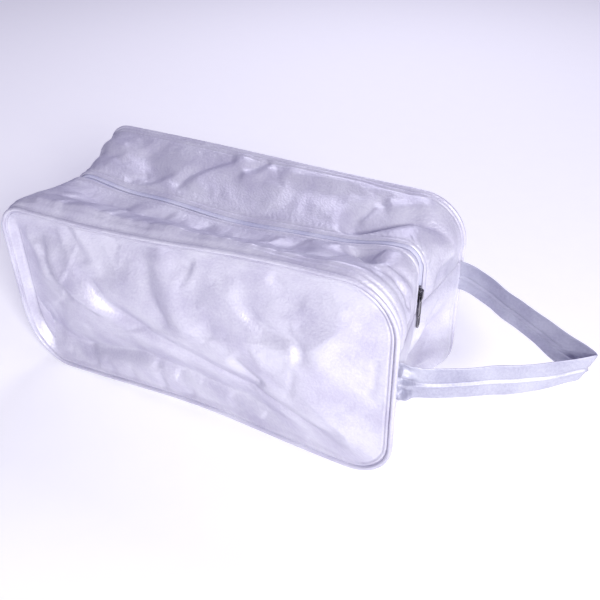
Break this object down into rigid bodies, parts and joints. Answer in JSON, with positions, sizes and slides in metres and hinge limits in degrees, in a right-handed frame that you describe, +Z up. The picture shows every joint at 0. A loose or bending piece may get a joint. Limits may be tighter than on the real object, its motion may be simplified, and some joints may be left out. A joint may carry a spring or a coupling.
{
  "type": "shoe bag",
  "caption": "Soft-sided zipped shoe bag of silver coated nylon, boxy and slightly slumped, with piped seams, a top zip over both ends and a folded wrist strap at one end.",
  "frame": {"origin": "middle of the bag's foot, on the surface that it stands on", "axes": "+X along the bag towards the zip slider's closed end and the wrist strap, -Y out of the front panel, +Z up"},
  "size_m": [0.4714, 0.146, 0.178],
  "materials": {
    "silver_nylon": "satin-coated nylon taffeta, silvery lavender",
    "piping_nylon": "the same coated nylon, cut on the bias over a cord",
    "piping_core": "twisted filler cord",
    "binding_tape": "woven bias tape",
    "zip_tape": "woven polyester tape, bluish lavender",
    "zip_coil": "nylon monofilament coil",
    "nickel_plate": "nickel-plated die-cast zinc, polished",
    "strap_nylon": "the same coated nylon, folded in four and stitched",
    "webbing": "woven webbing inside the strap"
  },
  "bodies": {
    "bag_body": {"foot_gusset": "silver_nylon", "left_cross_seam_binding": "binding_tape", "right_cross_seam_binding": "binding_tape", "front_panel_lower": "silver_nylon", "front_piping_cover_lower": "piping_nylon", "front_piping_cord_lower": "piping_core", "front_seam_binding_lower": "binding_tape", "front_strap_end": "strap_nylon", "back_panel_lower": "silver_nylon", "back_piping_cover_lower": "piping_nylon", "back_piping_cord_lower": "piping_core", "back_seam_binding_lower": "binding_tape", "back_strap_end": "strap_nylon"},
    "zip_slider": {"slider_body": "nickel_plate", "slider_bridge": "nickel_plate"},
    "pull_tab": {"pull_tab": "nickel_plate"},
    "wrist_strap": {"strap_sleeve": "strap_nylon", "strap_core": "webbing"},
    "front_mouth_half": {"front_panel_upper": "silver_nylon", "front_piping_cover_upper": "piping_nylon", "front_piping_cord_upper": "piping_core", "front_seam_binding_upper": "binding_tape", "front_zip_gusset": "silver_nylon", "front_zip_tape": "zip_tape", "front_zip_coil": "zip_coil"},
    "back_mouth_half": {"back_panel_upper": "silver_nylon", "back_piping_cover_upper": "piping_nylon", "back_piping_cord_upper": "piping_core", "back_seam_binding_upper": "binding_tape", "back_zip_gusset": "silver_nylon", "back_zip_tape": "zip_tape", "back_zip_coil": "zip_coil"}
  },
  "joints": [
    {"name": "front_mouth", "type": "hinge", "parent": "bag_body", "child": "front_mouth_half", "pos_m": [0, -0.071, 0.112], "axis": [-1, 0, 0], "range_deg": [-40, 0]},
    {"name": "back_mouth", "type": "hinge", "parent": "bag_body", "child": "back_mouth_half", "pos_m": [0, 0.071, 0.112], "axis": [1, 0, 0], "range_deg": [-40, 0]},
    {"name": "zip_run", "type": "slide", "parent": "bag_body", "child": "zip_slider", "axis": [0, 0, 1], "range_m": [0, 0.009]},
    {"name": "tab_swing", "type": "hinge", "parent": "zip_slider", "child": "pull_tab", "pos_m": [0.16639, 0, 0.129], "axis": [0, -1, 0], "range_deg": [0, 160]},
    {"name": "strap_swing", "type": "hinge", "parent": "bag_body", "child": "wrist_strap", "pos_m": [0.194, 0, 0.099], "axis": [0, -1, 0], "range_deg": [-60, 75]}
  ],
  "couplings": [
    {"joint": "back_mouth", "follows": "front_mouth", "ratio": 1}
  ]
}
